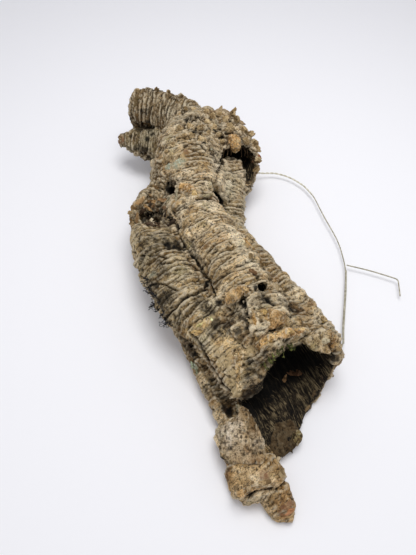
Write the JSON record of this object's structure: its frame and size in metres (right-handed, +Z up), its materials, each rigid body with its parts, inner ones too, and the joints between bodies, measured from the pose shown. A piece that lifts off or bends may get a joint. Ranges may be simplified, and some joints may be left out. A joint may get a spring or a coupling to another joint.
{
  "type": "cork bark tube",
  "caption": "Hollow tube of rough cork oak bark, open at a wide ragged mouth and at a stub, with a side cave, a tongue of bark beyond the mouth and a bowed tie wire.",
  "frame": {"origin": "on the surface that the tube lies on, under the middle of the box round bark and wire", "axes": "+Y along the tube from its open mouth to its stubs, +Z up"},
  "size_m": [0.2456, 0.4563, 0.0941],
  "materials": {
    "cork_bark": "rough weathered cork, matte",
    "tie_wire": "dull weathered zinc"
  },
  "bodies": {
    "root": {"bark_tube": "cork_bark", "hanging_wire": "tie_wire"}
  },
  "joints": []
}
